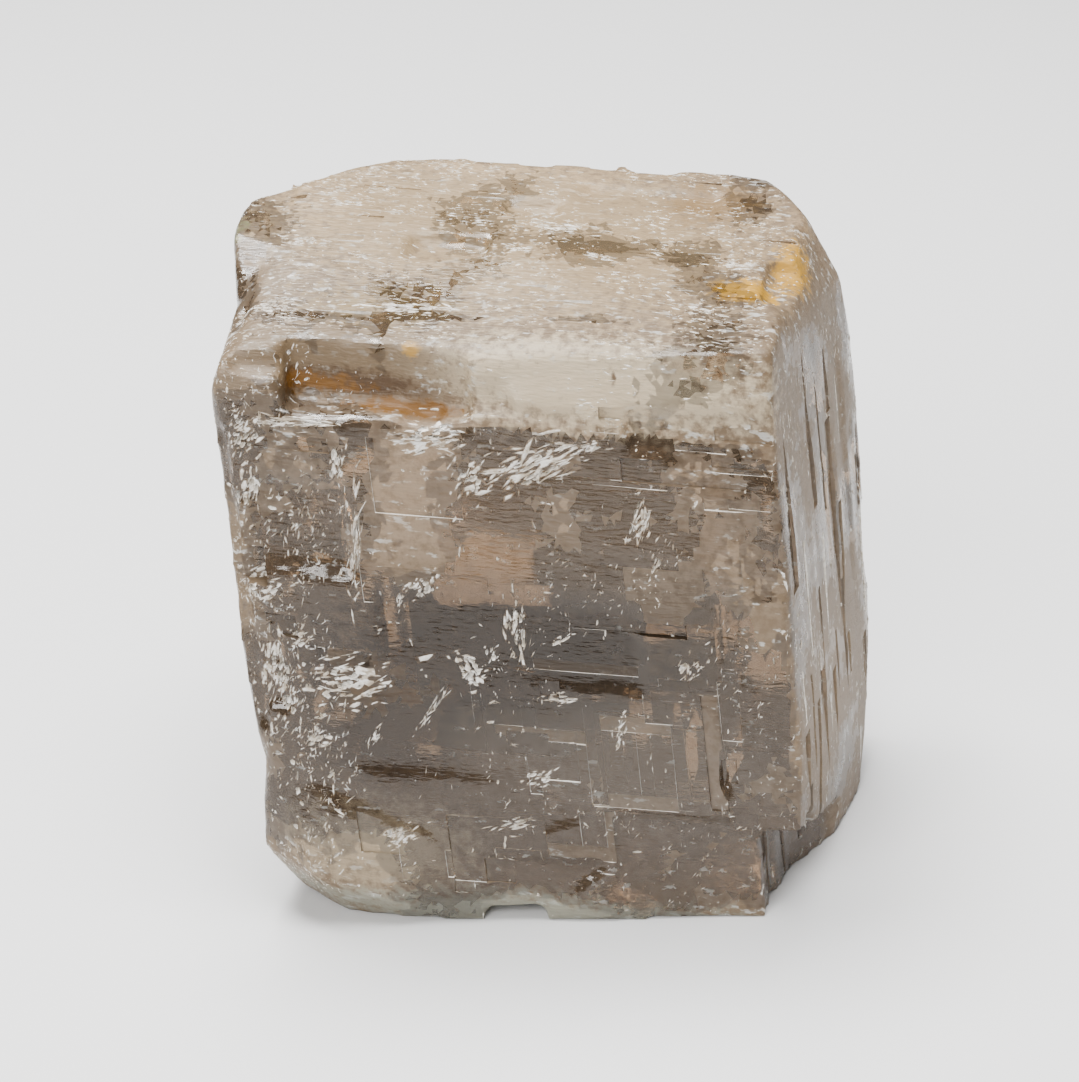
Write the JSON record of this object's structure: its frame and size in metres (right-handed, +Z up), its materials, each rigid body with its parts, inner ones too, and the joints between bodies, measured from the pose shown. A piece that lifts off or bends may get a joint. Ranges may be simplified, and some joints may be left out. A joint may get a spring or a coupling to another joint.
{
  "type": "calcite cleavage block",
  "caption": "Rough see-through block of optical calcite, a slanted box of cleavage faces with a ledge, steps and bruised corners, standing on its flat broken foot.",
  "frame": {"origin": "on the ground, under the middle of the block's bounding box", "axes": "+Z up, +X to the right of the stepped front face, +Y from the front face to the back"},
  "size_m": [0.0988, 0.0776, 0.0955],
  "materials": {
    "calcite": "smoky see-through crystal, glossy cleavage with frosted bruises"
  },
  "bodies": {
    "root": {"calcite_block": "calcite"}
  },
  "joints": []
}
